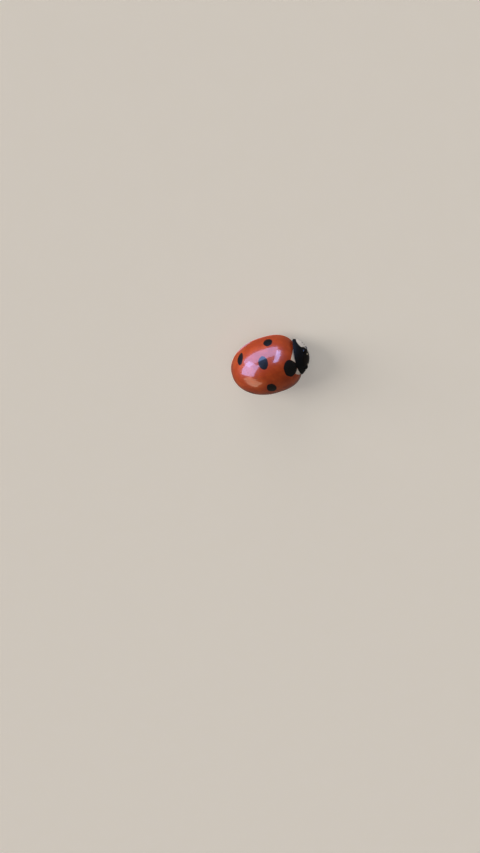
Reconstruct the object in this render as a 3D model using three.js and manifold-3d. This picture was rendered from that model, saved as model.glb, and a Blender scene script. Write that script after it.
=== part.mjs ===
// A seven-spot ladybird, Coccinella septempunctata, at rest with its legs drawn in under the body.
// Millimetres, +Z up. The head faces -Y, the beetle's left side is +X, and the feet stand on Z = 0.
import * as THREE from 'three';
import { mergeVertices } from 'three/addons/utils/BufferGeometryUtils.js';
import Module from 'manifold-3d';

const wasm = await Module();
wasm.setup();

// ---- Driving dimensions -------------------------------------------------------------------

const bodyRearY = 3.5;            // tips of the wing cases; the head's front is at -3.5
const marginHeight = 0.75;        // underside of the wing cases above the ground
const domeHeight = 3.07;          // top of the wing cases above that underside
const domeHalfWidth = 2.52;       // wing cases at their widest, without the rim
const rimWidth = 0.06;            // turned-up rim along the outer edge
const broadestY = 0.137;          // where the wing cases are broadest and highest
const crestReach = 3.776;         // how far forward the arch of the back would run to the ground
const sideReach = 2.78;           // how far forward the side curve of the wing cases would run
const rearReach = bodyRearY - broadestY;
const shoulderCurve = 2.9;        // exponent of the side curve in front of the broadest place
const rearCrestCurve = 2.08;      // exponent of the back line behind it
const archCurve = 2.07;           // exponent of the cross-section, 2 being an ellipse

const shellThickness = 0.22;      // wing case at the top
const foldedEdgeWidth = 0.5;      // wing case's turned-in lower edge, seen from below
const foldedEdgeRise = 0.1;       // that edge slopes up towards the body by this much
const fitGap = 0.04;              // between neighbouring plates
const seamGap = 0.02;             // between the two wing cases

const baseArcRadius = 11;         // joint between neck shield and wing cases, seen from above
const baseArcY = -2.4;            // where that joint crosses the middle line
const waistY = 0.15;              // joint between thorax and abdomen, seen from below

const limbThickness = 0.5;        // femora; the outer parts of a leg are a little slimmer

// ---- Colours ------------------------------------------------------------------------------

const red = 0xa83a16;
const black = 0x14110f;
const brownBlack = 0x241a15;
const eyeBlack = 0x0b0b0d;

// ---- Solids from geometries ---------------------------------------------------------------

const weld = 1e-4;                // points nearer than this are one point
const capRings = 3;               // rings in each round end of a limb

function solidFrom(geometry) {
  const bare = geometry.clone();
  bare.deleteAttribute('normal');
  bare.deleteAttribute('uv');
  const merged = mergeVertices(bare, weld);
  const corners = merged.index.array;
  const triangles = [];
  for (let i = 0; i < corners.length; i += 3) {
    const [a, b, c] = corners.subarray(i, i + 3);
    if (a !== b && b !== c && c !== a) triangles.push(a, b, c);
  }
  return new wasm.Manifold(new wasm.Mesh({
    numProp: 3,
    vertProperties: Float32Array.from(merged.attributes.position.array),
    triVerts: Uint32Array.from(triangles),
  }));
}

function geometryFrom(solid) {
  const mesh = solid.getMesh();
  const geometry = new THREE.BufferGeometry();
  geometry.setAttribute('position', new THREE.BufferAttribute(mesh.vertProperties, 3));
  geometry.setIndex(new THREE.BufferAttribute(mesh.triVerts, 1));
  geometry.computeVertexNormals();
  return geometry;
}

// The same solid on the other side of the beetle.
function mirrored(solid) {
  const geometry = geometryFrom(solid);
  geometry.scale(-1, 1, 1);
  geometry.index.array.reverse();
  return solidFrom(geometry);
}

const bothSides = (solid) => solid.add(mirrored(solid));
const grown = (radii, grow) => radii.map((radius) => radius + grow);

// A closed solid on the grid of a ball: place(along, turn) gives each point, where along runs
// 0..1 from the front pole to the rear pole and turn is the angle about the middle line, which
// is 0 at the top and grows towards the left.
function ballSolid(sides, rings, place) {
  const geometry = new THREE.SphereGeometry(1, sides, rings);
  const points = geometry.attributes.position;
  const grid = geometry.attributes.uv;
  for (let i = 0; i < points.count; i++) {
    const [x, y, z] = place(1 - grid.getY(i), -2 * Math.PI * grid.getX(i));
    points.setXYZ(i, x, y, z);
  }
  return solidFrom(geometry);
}

// An ellipsoid, turned about X by tilt.
function ellipsoid(center, radii, sides, rings, tilt = 0) {
  const geometry = new THREE.SphereGeometry(1, sides, rings);
  geometry.scale(...radii);
  geometry.rotateX(tilt);
  geometry.translate(...center);
  return solidFrom(geometry);
}

function boxSolid(low, high) {
  const geometry = new THREE.BoxGeometry(...high.map((value, axis) => value - low[axis]));
  geometry.translate(...high.map((value, axis) => (value + low[axis]) / 2));
  return solidFrom(geometry);
}

// A round-ended limb through the given points, with its end balls centred on the first and the
// last; radiusAt gives its radius at 0..1 of its length.
function limb(points, radiusAt, sides, stretches) {
  const curve = new THREE.CatmullRomCurve3(points.map((point) => new THREE.Vector3(...point)));
  const length = curve.getLength();
  const frames = curve.computeFrenetFrames(stretches);
  const geometry = new THREE.CapsuleGeometry(1, length, capRings, sides, stretches);
  const corners = geometry.attributes.position;
  for (let i = 0; i < corners.count; i++) {
    const share = THREE.MathUtils.clamp(corners.getY(i) / length + 0.5, 0, 1);
    const radius = radiusAt(share);
    const overhang = (corners.getY(i) - (share - 0.5) * length) * radius;
    const step = Math.round(share * stretches);
    const point = curve.getPointAt(share);
    point.addScaledVector(frames.tangents[step], overhang);
    point.addScaledVector(frames.binormals[step], corners.getX(i) * radius);
    point.addScaledVector(frames.normals[step], corners.getZ(i) * radius);
    corners.setXYZ(i, point.x, point.y, point.z);
  }
  return solidFrom(geometry);
}

const beyond = 10;                // farther out than any part of the beetle

function slabAlongY(fromY, toY) {
  return boxSolid([-beyond, fromY, -beyond], [beyond, toY, beyond]);
}

const leftSide = boxSolid([seamGap / 2, -beyond, -beyond], [beyond, beyond, beyond]);
const aboveGround = boxSolid([-beyond, -beyond, 0], [beyond, beyond, beyond]);

const beetle = new THREE.Group();

function addNode(name, solid, color, roughness = 0.3) {
  const material = new THREE.MeshStandardMaterial({ color, roughness, metalness: 0 });
  const mesh = new THREE.Mesh(geometryFrom(solid), material);
  mesh.name = name;
  beetle.add(mesh);
}

function addPair(name, leftSolid, color, roughness) {
  addNode(`${name}_left`, leftSolid, color, roughness);
  addNode(`${name}_right`, mirrored(leftSolid), color, roughness);
}

// ---- The arch of the back -----------------------------------------------------------------

const root = (value, exponent) => Math.max(value, 0) ** (1 / exponent);

// Height of the back line above the margin at a place along the body.
function crestAt(y) {
  if (y < broadestY) return domeHeight * root(1 - ((broadestY - y) / crestReach) ** 2, 2);
  return domeHeight * root(1 - ((y - broadestY) / rearReach) ** rearCrestCurve, rearCrestCurve);
}

// Half the width of the wing cases there.
function halfWidthAt(y) {
  if (y > broadestY) return domeHalfWidth * root(1 - ((y - broadestY) / rearReach) ** 2, 2);
  const reach = (broadestY - y) / sideReach;
  return domeHalfWidth * root(1 - reach ** shoulderCurve, shoulderCurve);
}

// A superellipse about the middle line: turn 0 gives [0, 1] and a quarter turn [1, 0].
function archPoint(turn, curve = archCurve) {
  const soften = (value) => Math.sign(value) * Math.abs(value) ** (2 / curve);
  return [soften(Math.sin(turn)), soften(Math.cos(turn))];
}

// ---- Wing cases ---------------------------------------------------------------------------

const domeSides = 34;
const domeRings = 20;
const archShare = 0.78;           // share of the points of a section that lie on the arch
const rimStart = 0.93;            // the rim begins at this share of the way from top to edge
const noseClosing = 0.35;         // the hidden front end closes over this share of its ring

function wingCaseDome() {
  return ballSolid(domeSides, domeRings, (along, turn) => {
    const reach = -Math.cos(Math.PI * along);
    const y = broadestY + reach * (reach < 0 ? sideReach : rearReach);
    const closing = reach < 0 ? Math.min(1, Math.sin(Math.PI * along) / noseClosing) : 1;
    const halfWidth = halfWidthAt(y);
    const rim = rimWidth * Math.min(1, halfWidth);
    const share = Math.abs(Math.atan2(Math.sin(turn), Math.cos(turn))) / Math.PI;
    const side = Math.sign(Math.sin(turn));
    if (share <= archShare) {
      const edgeward = share / archShare;
      const [x, z] = archPoint((edgeward * Math.PI) / 2);
      const flare = (rim * Math.max(0, edgeward - rimStart)) / (1 - rimStart);
      return [side * (x * halfWidth + flare), y, marginHeight + z * crestAt(y) * closing];
    }
    const inward = (share - archShare) / (1 - archShare);
    const x = (1 - inward) * (halfWidth + rim);
    const rise = foldedEdgeRise * Math.min(1, (inward * (halfWidth + rim)) / foldedEdgeWidth);
    return [side * x, y, marginHeight + rise * Math.min(1, halfWidth)];
  });
}

// What lies under the wing cases: the middle and hind body, to its rounded sides and flat belly.
const coreSides = 18;
const coreRings = 12;
const coreFrontY = -2.6;
const coreWaistRise = 0.32;       // the body is broadest this far above the margin
const bellyRise = 0.06;           // the belly lies this far above the margin
const bellyCurve = 3.2;

function bodyCore(grow) {
  const thickness = shellThickness - grow;
  const rearY = bodyRearY - 1.6 * thickness;
  const middleY = (coreFrontY + rearY) / 2;
  const halfLength = (rearY - coreFrontY) / 2;
  return ballSolid(coreSides, coreRings, (along, turn) => {
    const reach = -Math.cos(Math.PI * along);
    const y = middleY + reach * halfLength;
    const closing = Math.min(1, Math.sin(Math.PI * along) / noseClosing);
    const halfWidth = Math.max(halfWidthAt(y) - thickness, 0) * closing;
    const crest = Math.max(crestAt(y) - thickness, 0) * closing;
    const middle = Math.min(coreWaistRise, crest / 2);
    const depth = Math.max(middle - bellyRise + grow, 0) * closing;
    const above = Math.cos(turn) > 0;
    const [x, z] = archPoint(turn, above ? archCurve : bellyCurve);
    return [x * halfWidth, y, marginHeight + middle + z * (above ? crest - middle : depth)];
  });
}

// The round joint with the neck shield, as a tall drum in front of it.
const drumSides = 120;

function baseDrum(grow) {
  const radius = baseArcRadius + grow;
  const geometry = new THREE.CylinderGeometry(radius, radius, beyond, drumSides);
  geometry.rotateX(Math.PI / 2);
  geometry.translate(0, baseArcY - baseArcRadius, beyond / 2);
  return solidFrom(geometry);
}

// The scutellum, a small three-cornered plate between the bases of the wing cases.
const scutellumLength = 0.42;
const scutellumHalfWidth = 0.26;

function scutellumWedge(grow) {
  const outline = new THREE.Shape();
  const frontY = baseArcY - 1;
  const half = scutellumHalfWidth + grow;
  const tip = baseArcY + scutellumLength + 2 * grow;
  outline.moveTo(-half, frontY);
  outline.lineTo(half, frontY);
  outline.lineTo(half, baseArcY + fitGap);
  outline.lineTo(0, tip);
  outline.lineTo(-half, baseArcY + fitGap);
  const geometry = new THREE.ExtrudeGeometry(outline, { depth: beyond, bevelEnabled: false });
  return solidFrom(geometry);
}

const dome = wingCaseDome();
const hindBody = slabAlongY(-beyond, beyond).subtract(baseDrum(fitGap));
const wingCases = dome.subtract(bodyCore(fitGap)).intersect(hindBody);
addPair('wing_case', wingCases.subtract(scutellumWedge(fitGap)).intersect(leftSide), red, 0.2);
addNode('scutellum', wingCases.intersect(scutellumWedge(0)), black, 0.25);

// ---- Legs ---------------------------------------------------------------------------------

// Hip, knee, ankle and claw of each left leg, as they lie folded under the body. A base is the
// short rounded piece between leg and body, with its half sizes.
const leftLegs = [
  {
    name: 'front',
    base: [0.42, -2.44, 0.8],
    baseRadii: [0.3, 0.2, 0.24],
    joints: [[0.62, -2.42, 0.5], [1.38, -2.4, 0.48], [0.98, -2.92, 0.25], [0.66, -3.16, 0.17]],
  },
  {
    name: 'middle',
    base: [0.62, -1.32, 0.8],
    baseRadii: [0.27, 0.25, 0.22],
    joints: [[0.84, -1.27, 0.5], [1.86, -0.98, 0.48], [1.86, -0.1, 0.25], [2.02, 0.42, 0.17]],
  },
  {
    name: 'hind',
    base: [0.7, -0.02, 0.8],
    baseRadii: [0.48, 0.22, 0.2],
    joints: [[0.9, 0.14, 0.5], [1.7, 1.0, 0.48], [1.56, 1.98, 0.25], [1.26, 2.52, 0.17]],
  },
];
const femurRadius = limbThickness / 2;
const tibiaRadius = 0.235;
const tarsusRadius = 0.23;
const limbSides = 8;

const legBase = (leg, grow) => ellipsoid(leg.base, grown(leg.baseRadii, grow), 8, 5);
const baseSockets = leftLegs.map((leg) => legBase(leg, fitGap)).reduce((a, b) => a.add(b));
const allSockets = bothSides(baseSockets);

// A limb from joint to joint; growing it makes the cutter that keeps its neighbour clear.
function legPart(from, to, radius, grow) {
  return limb([from, to], () => radius + grow, limbSides, 1);
}

function addLeg(leg) {
  const [hip, knee, ankle, claw] = leg.joints;
  const femur = legPart(hip, knee, femurRadius, 0).subtract(legBase(leg, fitGap));
  const femurCutter = legPart(hip, knee, femurRadius, fitGap);
  const tibia = legPart(knee, ankle, tibiaRadius, 0).subtract(femurCutter);
  const tibiaCutter = legPart(knee, ankle, tibiaRadius, fitGap);
  const tarsus = legPart(ankle, claw, tarsusRadius, 0).subtract(tibiaCutter).intersect(aboveGround);
  addPair(`leg_${leg.name}_coxa`, legBase(leg, 0), black, 0.4);
  addPair(`leg_${leg.name}_femur`, femur, black, 0.35);
  addPair(`leg_${leg.name}_tibia`, tibia, black, 0.4);
  addPair(`leg_${leg.name}_tarsus`, tarsus, brownBlack, 0.5);
}

leftLegs.forEach(addLeg);

// ---- Middle body and abdomen --------------------------------------------------------------

const core = bodyCore(0).intersect(hindBody).subtract(allSockets);
addNode('abdomen', core.intersect(slabAlongY(waistY + fitGap, beyond)), black, 0.4);
addNode('thorax', core.intersect(slabAlongY(-beyond, waistY)), black, 0.4);

// ---- Neck shield --------------------------------------------------------------------------

const shieldHalfWidth = 1.7;
const shieldBroadestY = -2.2;
const shieldFrontReach = 1.25;
const shieldRearReach = 1.4;
const shieldSideCurve = 2.0;
const shieldEdgeRise = 0.3;       // lower edge of the shield above the margin of the wing cases
const shieldSides = 24;
const shieldRings = 10;
const shieldRearY = -1.9;

function shieldHalfWidthAt(y) {
  const longest = y < shieldBroadestY ? shieldFrontReach : shieldRearReach;
  const reach = Math.abs(y - shieldBroadestY) / longest;
  return shieldHalfWidth * root(1 - reach ** shieldSideCurve, shieldSideCurve);
}

const frontBody = ballSolid(shieldSides, shieldRings, (along, turn) => {
  const frontY = shieldBroadestY - shieldFrontReach;
  const reach = -Math.cos(Math.PI * along);
  const y = (frontY + shieldRearY) / 2 + (reach * (shieldRearY - frontY)) / 2;
  const closing = Math.min(1, Math.sin(Math.PI * along) / noseClosing);
  const edge = shieldEdgeRise * closing;
  const above = Math.cos(turn) > 0;
  const [x, z] = archPoint(turn, above ? archCurve : bellyCurve);
  const height = above ? (crestAt(y) - edge) * closing : edge;
  return [x * shieldHalfWidthAt(y) * closing, y, marginHeight + edge + z * height];
});

// ---- Head ---------------------------------------------------------------------------------

const neckY = -2.6;               // the head turns about an upright line here
const headTurn = -0.24;           // radians, to the beetle's right
const shieldTurn = -0.17;
const headTilt = -0.42;           // the face leans back
const headCenter = [0, -2.98, 1.5];
const headRadii = [0.9, 0.47, 0.76];
const eyeCenter = [0.73, -3.04, 1.6];
const eyeRadii = [0.25, 0.3, 0.37];

// Turns a solid about the upright line through the neck.
function turned(solid, angle) {
  const geometry = geometryFrom(solid);
  geometry.translate(0, -neckY, 0);
  geometry.rotateZ(angle);
  geometry.translate(0, neckY, 0);
  return solidFrom(geometry);
}

const headwise = (solid) => turned(solid, headTurn);

function addHeadPair(name, leftSolid, color, roughness) {
  addNode(`${name}_left`, headwise(leftSolid), color, roughness);
  addNode(`${name}_right`, headwise(mirrored(leftSolid)), color, roughness);
}

const eye = (grow) => ellipsoid(eyeCenter, grown(eyeRadii, grow), 12, 8, headTilt);
const skull = (grow) => ellipsoid(headCenter, grown(headRadii, grow), 16, 10, headTilt);

// Mouthparts: the lip plate, the jaws under it, the lower lip and the palps.
const lipCenter = [0, -3.24, 0.98];
const lipRadii = [0.4, 0.15, 0.2];
const lipTilt = -0.2;
const jawCenter = [0.19, -3.1, 0.78];
const jawRadii = [0.19, 0.14, 0.15];
const lowerLipCenter = [0, -3.02, 0.64];
const lowerLipRadii = [0.26, 0.15, 0.13];
const palpPath = [[0.34, -3.1, 0.86], [0.41, -3.2, 0.76], [0.37, -3.28, 0.64]];
const palpRadii = [0.12, 0.18];   // at the root and at the tip
const antennaPath = [[0.52, -3.15, 1.04], [0.67, -3.23, 0.86], [0.73, -3.2, 0.73], [0.76, -3.12, 0.66]];
const antennaRadii = [0.17, 0.2];

// A limb that swells evenly from its root to its tip.
function swelling(path, radii, grow, stretches) {
  const radiusAt = (share) => THREE.MathUtils.lerp(radii[0], radii[1], share) + grow;
  return limb(path, radiusAt, 6, stretches);
}

const lipPlate = (grow) => ellipsoid(lipCenter, grown(lipRadii, grow), 10, 6, lipTilt);
const jaw = (grow) => ellipsoid(jawCenter, grown(jawRadii, grow), 8, 5);
const palp = (grow) => swelling(palpPath, palpRadii, grow, 2);
const antenna = (grow) => swelling(antennaPath, antennaRadii, grow, 3);

const feelerCuts = bothSides(eye(fitGap)).add(bothSides(antenna(fitGap)));
addNode('head', headwise(skull(0).subtract(feelerCuts).subtract(lipPlate(fitGap))), black, 0.3);
addNode('labrum', headwise(lipPlate(0)), black, 0.35);
addHeadPair('eye', eye(0), eyeBlack, 0.2);
addHeadPair('antenna', antenna(0).subtract(eye(fitGap)).subtract(palp(fitGap)), brownBlack, 0.4);

const jawCuts = lipPlate(fitGap).add(skull(fitGap));
addHeadPair('jaw', jaw(0).subtract(jawCuts).intersect(leftSide), brownBlack, 0.35);
addHeadPair('palp', palp(0).subtract(jawCuts).subtract(jaw(fitGap)), brownBlack, 0.4);
const lowerLip = ellipsoid(lowerLipCenter, lowerLipRadii, 8, 5);
const lowerLipCuts = skull(fitGap).add(bothSides(jaw(fitGap)));
addNode('labium', headwise(lowerLip.subtract(lowerLipCuts)), brownBlack, 0.5);

// ---- Front body under the shield ------------------------------------------------------------

// The shield leaves room for the head in front, and its lower edge rises towards the face.
const collarCenter = [0, -3.46, 1.5];
const collarRadii = [1.16, 0.66, 1.12];
const throatSlope = -0.58;        // radians
const throatCorner = [0, -2.84, 0.88];
const breastCenter = [0, -2.48, 0.85];
const breastRadii = [0.9, 0.52, 0.42];

const collar = ellipsoid(collarCenter, collarRadii, 16, 10, headTilt);
const throat = new THREE.BoxGeometry(beyond, beyond, beyond);
throat.translate(0, -beyond / 2, -beyond / 2);
throat.rotateX(throatSlope);
throat.translate(...throatCorner);
const faceRoom = collar.add(solidFrom(throat)).add(skull(fitGap)).add(bothSides(eye(fitGap)));
const breast = (grow) => ellipsoid(breastCenter, grown(breastRadii, grow), 14, 8);

const wholeShield = turned(frontBody, shieldTurn).intersect(baseDrum(0));
const prothorax = wholeShield.subtract(headwise(faceRoom)).subtract(allSockets);
addNode('pronotum', prothorax.subtract(breast(fitGap)), black, 0.25);
addNode('prosternum', prothorax.intersect(breast(0)), black, 0.4);

// The middle of the footprint stands over the origin.
const footprint = new THREE.Box3().setFromObject(beetle);
beetle.position.y = -(footprint.min.y + footprint.max.y) / 2;

export default beetle;
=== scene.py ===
import math
import random

import bmesh
import bpy
from mathutils import Matrix, Vector


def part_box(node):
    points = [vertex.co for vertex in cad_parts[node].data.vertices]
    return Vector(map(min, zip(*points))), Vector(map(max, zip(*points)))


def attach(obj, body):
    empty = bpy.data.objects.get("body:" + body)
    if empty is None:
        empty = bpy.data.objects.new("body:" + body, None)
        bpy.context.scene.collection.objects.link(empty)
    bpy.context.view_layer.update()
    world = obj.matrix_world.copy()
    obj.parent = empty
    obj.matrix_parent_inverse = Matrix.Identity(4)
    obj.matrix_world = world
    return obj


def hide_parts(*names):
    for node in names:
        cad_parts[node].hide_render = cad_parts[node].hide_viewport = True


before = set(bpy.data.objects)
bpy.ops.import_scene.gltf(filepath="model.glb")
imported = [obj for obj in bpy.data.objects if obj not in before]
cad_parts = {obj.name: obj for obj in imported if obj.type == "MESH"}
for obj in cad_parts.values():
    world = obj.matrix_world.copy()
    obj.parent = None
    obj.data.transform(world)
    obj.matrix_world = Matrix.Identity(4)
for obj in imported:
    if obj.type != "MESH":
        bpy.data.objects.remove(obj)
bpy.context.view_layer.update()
bpy.ops.object.select_all(action="DESELECT")

# Pieces are modelled in millimetres and scaled to metres as each one is finished.
perMetre = 1000
caseLow, caseHigh = (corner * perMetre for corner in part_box("wing_case_left"))
rearY, marginZ, outerX = caseHigh.y, caseLow.z, caseHigh.x
shiftY = rearY - 3.5   # places in the dictionaries are for wing cases that end at Y = 3.5
smoothAngle = math.radians(40)


def work(piece):
    if bpy.context.mode != "OBJECT":
        bpy.ops.object.mode_set(mode="OBJECT")
    bpy.ops.object.select_all(action="DESELECT")
    piece.select_set(True)
    bpy.context.view_layer.objects.active = piece


def pick(piece, kind, chosen):
    bpy.ops.mesh.select_mode(type=kind)
    bpy.ops.mesh.select_all(action="DESELECT")
    mesh = bmesh.from_edit_mesh(piece.data)
    for item in {"EDGE": mesh.edges, "FACE": mesh.faces}[kind]:
        if chosen(item):
            item.select_set(True)
    mesh.select_flush_mode()
    bmesh.update_edit_mesh(piece.data)


def pickPoints(piece, indices):
    bpy.ops.mesh.select_mode(type="VERT")
    bpy.ops.mesh.select_all(action="DESELECT")
    mesh = bmesh.from_edit_mesh(piece.data)
    mesh.verts.ensure_lookup_table()
    for index in indices:
        mesh.verts[index].select_set(True)
    bmesh.update_edit_mesh(piece.data)


def added(name):
    piece = bpy.context.object
    piece.name = piece.data.name = name
    return piece


def placed(x, y, z):
    return Vector((x, y + shiftY, z))


def applyPlace(piece):
    work(piece)
    bpy.ops.object.transform_apply(location=True, rotation=True, scale=True)


def copyOf(piece, name):
    work(piece)
    bpy.ops.object.duplicate()
    return added(name)


def modify(piece, kind, **settings):
    work(piece)
    modifier = piece.modifiers.new(kind.title(), kind)
    for key, value in settings.items():
        setattr(modifier, key, value)
    bpy.ops.object.modifier_apply(modifier=modifier.name)


def carve(piece, tool, operation="DIFFERENCE"):
    modify(piece, "BOOLEAN", object=tool, operation=operation, solver="EXACT")


def remove(*pieces):
    for piece in pieces:
        bpy.data.objects.remove(piece, do_unlink=True)


def tidyMesh(piece):
    weld = 0.0005
    work(piece)
    bpy.ops.object.mode_set(mode="EDIT")
    bpy.ops.mesh.select_all(action="SELECT")
    bpy.ops.mesh.remove_doubles(threshold=weld)
    bpy.ops.mesh.dissolve_degenerate(threshold=weld)
    bpy.ops.mesh.normals_make_consistent(inside=False)
    bpy.ops.object.mode_set(mode="OBJECT")


def roundEdges(piece, width, segments=2, angle=50):
    modify(piece, "BEVEL", width=width, segments=segments, limit_method="ANGLE",
           angle_limit=math.radians(angle))


def bisectPiece(piece, place, normal, keepFront, fill=False):
    work(piece)
    bpy.ops.object.mode_set(mode="EDIT")
    bpy.ops.mesh.select_all(action="SELECT")
    bpy.ops.mesh.bisect(plane_co=place, plane_no=normal, use_fill=fill, clear_inner=keepFront,
                        clear_outer=not keepFront)
    bpy.ops.object.mode_set(mode="OBJECT")


def turnAbout(piece, angle, center):
    piece.matrix_world = (Matrix.Translation(center) @ Matrix.Rotation(angle, 4, "Z")
                          @ Matrix.Translation(-center) @ piece.matrix_world)
    applyPlace(piece)


def mirrored(piece, name):
    twin = copyOf(piece, name)
    twin.scale.x = -1
    applyPlace(twin)
    tidyMesh(twin)
    return twin


def joined(pieces, name):
    work(pieces[0])
    for piece in pieces:
        piece.select_set(True)
    bpy.ops.object.join()
    return added(name)


def finish(piece, material, nodes=()):
    work(piece)
    piece.scale = (1 / perMetre,) * 3
    applyPlace(piece)
    bpy.ops.object.shade_smooth_by_angle(angle=smoothAngle)
    piece.data.materials.clear()
    piece.data.materials.append(material)
    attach(piece, "root")
    if nodes:
        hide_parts(*nodes)


def ellipsoid(name, center, radii, sides=48, rings=32, tilt=0.0):
    bpy.ops.object.select_all(action="DESELECT")
    bpy.ops.mesh.primitive_uv_sphere_add(
        segments=sides, ring_count=rings, radius=1, location=placed(*center),
        rotation=(tilt, 0, 0), scale=radii)
    ball = added(name)
    applyPlace(ball)
    return ball


def ringedBall(name, sides, rings, ringAt, lowerCurve=2.0):
    # A ball with its poles fore and aft: its columns are squared below, then each ring gets its size.
    bpy.ops.object.select_all(action="DESELECT")
    bpy.ops.mesh.primitive_uv_sphere_add(segments=sides, ring_count=rings, radius=1,
                                         rotation=(math.pi / 2, 0, 0))
    ball = added(name)
    applyPlace(ball)
    columns, circles = {}, {}
    for vertex in ball.data.vertices:
        x, y, z = vertex.co
        ring = round(math.acos(max(-1, min(1, -y))) / math.pi * rings)
        below = z < -1e-5
        circles.setdefault((ring, below), []).append(vertex.index)
        if below and abs(x) > 1e-5 and lowerCurve != 2:
            column = round(math.degrees(math.atan2(abs(x), -z)), 2)
            columns.setdefault(column, []).append(vertex.index)
    bpy.ops.object.mode_set(mode="EDIT")
    for column, chosen in columns.items():
        sine, cosine = math.sin(math.radians(column)), math.cos(math.radians(column))
        pickPoints(ball, chosen)
        bpy.ops.transform.resize(value=(sine ** (2 / lowerCurve - 1), 1, cosine ** (2 / lowerCurve - 1)),
                                 center_override=(0, 0, 0))
    for (ring, below), chosen in circles.items():
        share = ring / rings
        radius = math.sin(math.pi * share)
        y, halfWidth, above, depth, middleZ = ringAt(share)
        pickPoints(ball, chosen)
        if 0 < ring < rings:
            bpy.ops.transform.resize(value=(halfWidth / radius, 1, (depth if below else above) / radius),
                                     center_override=(0, 0, 0))
        bpy.ops.transform.translate(value=(0, y + math.cos(math.pi * share), middleZ))
    bpy.ops.object.mode_set(mode="OBJECT")
    return ball


def rod(name, rings, sides=16, path=None):
    # Extruded ring by ring, each (height, half width, half depth), then laid along a path.
    height, across, deep = rings[0]
    bpy.ops.object.select_all(action="DESELECT")
    bpy.ops.mesh.primitive_circle_add(vertices=sides, radius=1, fill_type="NGON", location=(0, 0, 0))
    piece = added(name)
    bpy.ops.object.mode_set(mode="EDIT")
    bpy.ops.mesh.select_all(action="SELECT")
    bpy.ops.transform.resize(value=(across, deep, 1), center_override=(0, 0, 0))
    bpy.ops.transform.translate(value=(0, 0, height))
    for nextHeight, nextAcross, nextDeep in rings[1:]:
        bpy.ops.mesh.extrude_region_move(TRANSFORM_OT_translate={"value": (0, 0, nextHeight - height)})
        bpy.ops.transform.resize(value=(nextAcross / across, nextDeep / deep, 1),
                                 center_override=(0, 0, nextHeight))
        height, across, deep = nextHeight, nextAcross, nextDeep
    bpy.ops.mesh.select_all(action="SELECT")
    bpy.ops.mesh.normals_make_consistent(inside=False)
    bpy.ops.object.mode_set(mode="OBJECT")
    if path:
        bendAlong(piece, path)
    return piece


def bendAlong(piece, path):
    line = bpy.data.curves.new("bendLine", "CURVE")
    line.dimensions = "3D"
    line.resolution_u = 24
    line.twist_mode = "MINIMUM"
    spline = line.splines.new("BEZIER")
    spline.bezier_points.add(len(path) - 1)
    for point, place in zip(spline.bezier_points, path):
        point.co = place
        point.handle_left_type = point.handle_right_type = "AUTO"
    guide = bpy.data.objects.new("bendLine", line)
    bpy.context.collection.objects.link(guide)
    modify(piece, "CURVE", object=guide, deform_axis="POS_Z")
    remove(guide)


def toward(azimuth, elevation):
    turn, rise = math.radians(azimuth), math.radians(elevation)
    return Vector((math.cos(turn) * math.cos(rise), math.sin(turn) * math.cos(rise), math.sin(rise)))


def linear(hexColor):
    channels = [int(hexColor[i:i + 2], 16) / 255 for i in (1, 3, 5)]
    return (*[c / 12.92 if c <= 0.04045 else ((c + 0.055) / 1.055) ** 2.4 for c in channels], 1)


def addNode(tree, kind, settings, links, output=0):
    node = tree.nodes.new("ShaderNode" + kind)
    for key, value in settings.items():
        setattr(node, key, value)
    for key, value in links.items():
        if isinstance(value, bpy.types.NodeSocket):
            tree.links.new(value, node.inputs[key])
        else:
            node.inputs[key].default_value = value
    return node.outputs[output]


def newFinish(name, surface):
    # returns the material, its nodes and the place in millimetres
    material = bpy.data.materials.new(name)
    material.use_nodes = True
    tree = material.node_tree
    place = addNode(tree, "TexCoord", {}, {}, "Object")
    place = addNode(tree, "VectorMath", {"operation": "SCALE"}, {0: place, "Scale": perMetre})
    setSurface(tree, surface)
    return material, tree, place


def setSurface(tree, links):
    surface = next(node for node in tree.nodes if node.type == "BSDF_PRINCIPLED")
    for key, value in links.items():
        if isinstance(value, bpy.types.NodeSocket):
            tree.links.new(value, surface.inputs[key])
        else:
            surface.inputs[key].default_value = value


def folded(tree, place):
    # the same place with X made positive, so that one pattern serves both sides
    positive = addNode(tree, "VectorMath", {"operation": "ABSOLUTE"}, {0: place})
    across = addNode(tree, "SeparateXYZ", {}, {0: positive})
    side = addNode(tree, "CombineXYZ", {}, {"X": across})
    rest = addNode(tree, "VectorMath", {"operation": "MULTIPLY"}, {0: place, 1: (0, 1, 1)})
    return addNode(tree, "VectorMath", {"operation": "ADD"}, {0: rest, 1: side})


def beforeTurn(tree, place, turn):
    # the place measured from the neck, as it was before the piece was turned there
    fromNeck = addNode(tree, "VectorMath", {"operation": "SUBTRACT"}, {0: place, 1: neck})
    return addNode(tree, "Mapping", {"vector_type": "POINT"}, {0: fromNeck, "Rotation": (0, 0, -turn)})


def distanceFrom(tree, place, center, halfSizes, turn=(0, 0, 0)):
    # 1 on the surface of a turned ellipsoid
    local = addNode(tree, "Mapping", {"vector_type": "TEXTURE"},
                    {0: place, "Location": center, "Rotation": turn, "Scale": halfSizes})
    return addNode(tree, "VectorMath", {"operation": "LENGTH"}, {0: local}, "Value")


def beyondPlane(tree, place, outward, distance):
    # how far the place lies outside a plane
    reach = addNode(tree, "VectorMath", {"operation": "DOT_PRODUCT"}, {0: place, 1: outward}, "Value")
    return addNode(tree, "Math", {"operation": "SUBTRACT"}, {0: reach, 1: distance})


def blend(tree, value, full, none, under, over):
    # the colour over where the value is at full, under where it is at none, and softly between
    share = addNode(tree, "MapRange", {"interpolation_type": "SMOOTHSTEP"},
                    {0: value, 1: full, 2: none, 3: 1, 4: 0})
    return addNode(tree, "Mix", {"data_type": "RGBA"}, {0: share, 6: under, 7: over}, 2)


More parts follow.
